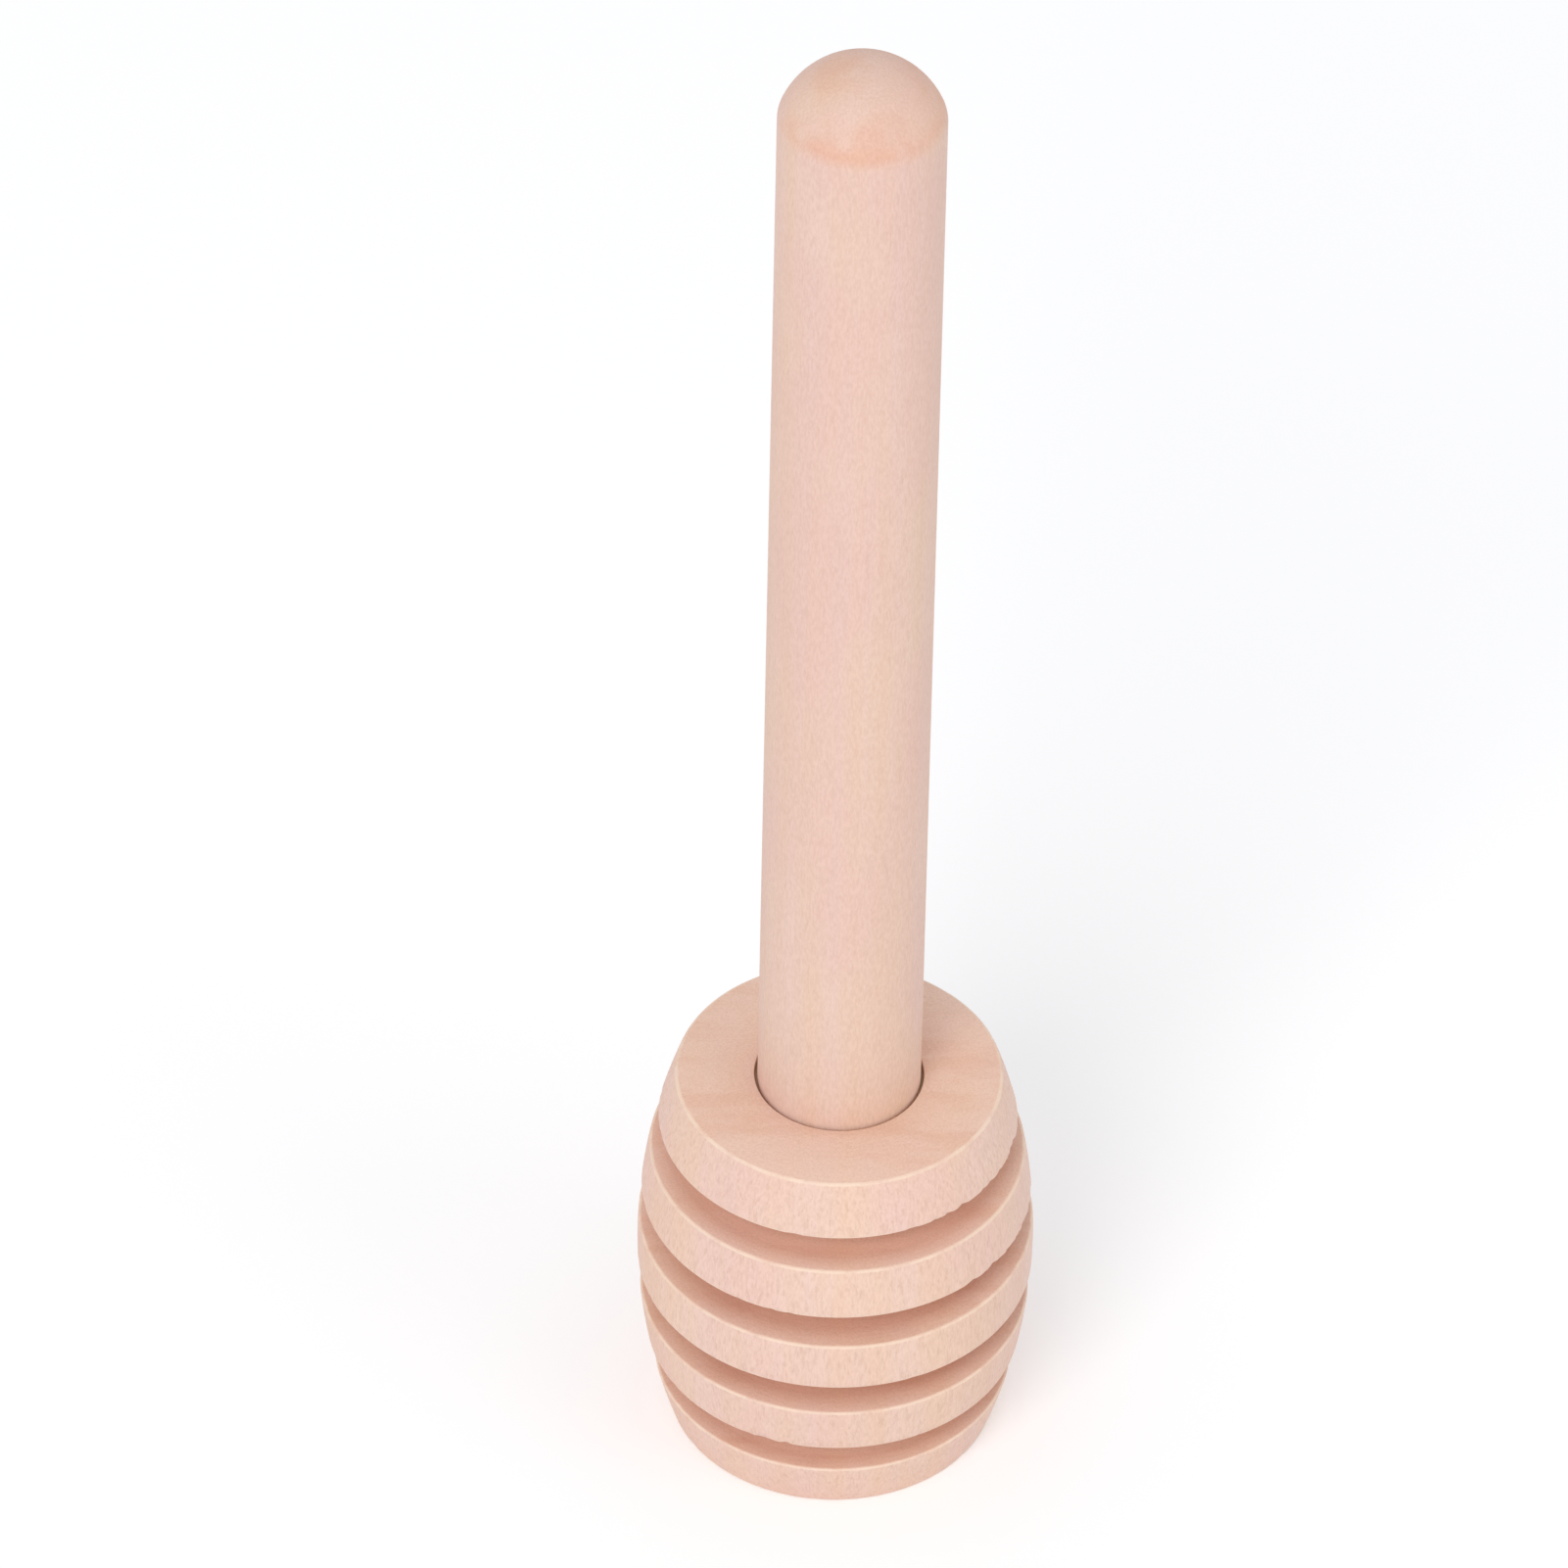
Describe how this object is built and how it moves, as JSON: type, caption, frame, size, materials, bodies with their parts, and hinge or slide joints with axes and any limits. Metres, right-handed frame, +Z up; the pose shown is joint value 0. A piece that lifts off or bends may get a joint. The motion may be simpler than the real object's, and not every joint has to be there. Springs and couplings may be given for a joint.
{
  "type": "honey dipper",
  "caption": "Small turned wooden honey dipper: a grooved barrel head on a straight round handle with a domed tip.",
  "frame": {"origin": "centre of the barrel head's flat bottom face, on which the dipper stands", "axes": "+Z up the handle's axis, from the head towards the domed tip; X and Y are alike, as everything is turned about Z"},
  "size_m": [0.0194, 0.0194, 0.085],
  "materials": {
    "head_wood": "satin",
    "handle_wood": "satin",
    "dried_glue": "satin"
  },
  "bodies": {
    "root": {"barrel_head": "head_wood", "handle": "handle_wood", "glue_bond": "dried_glue"}
  },
  "joints": []
}
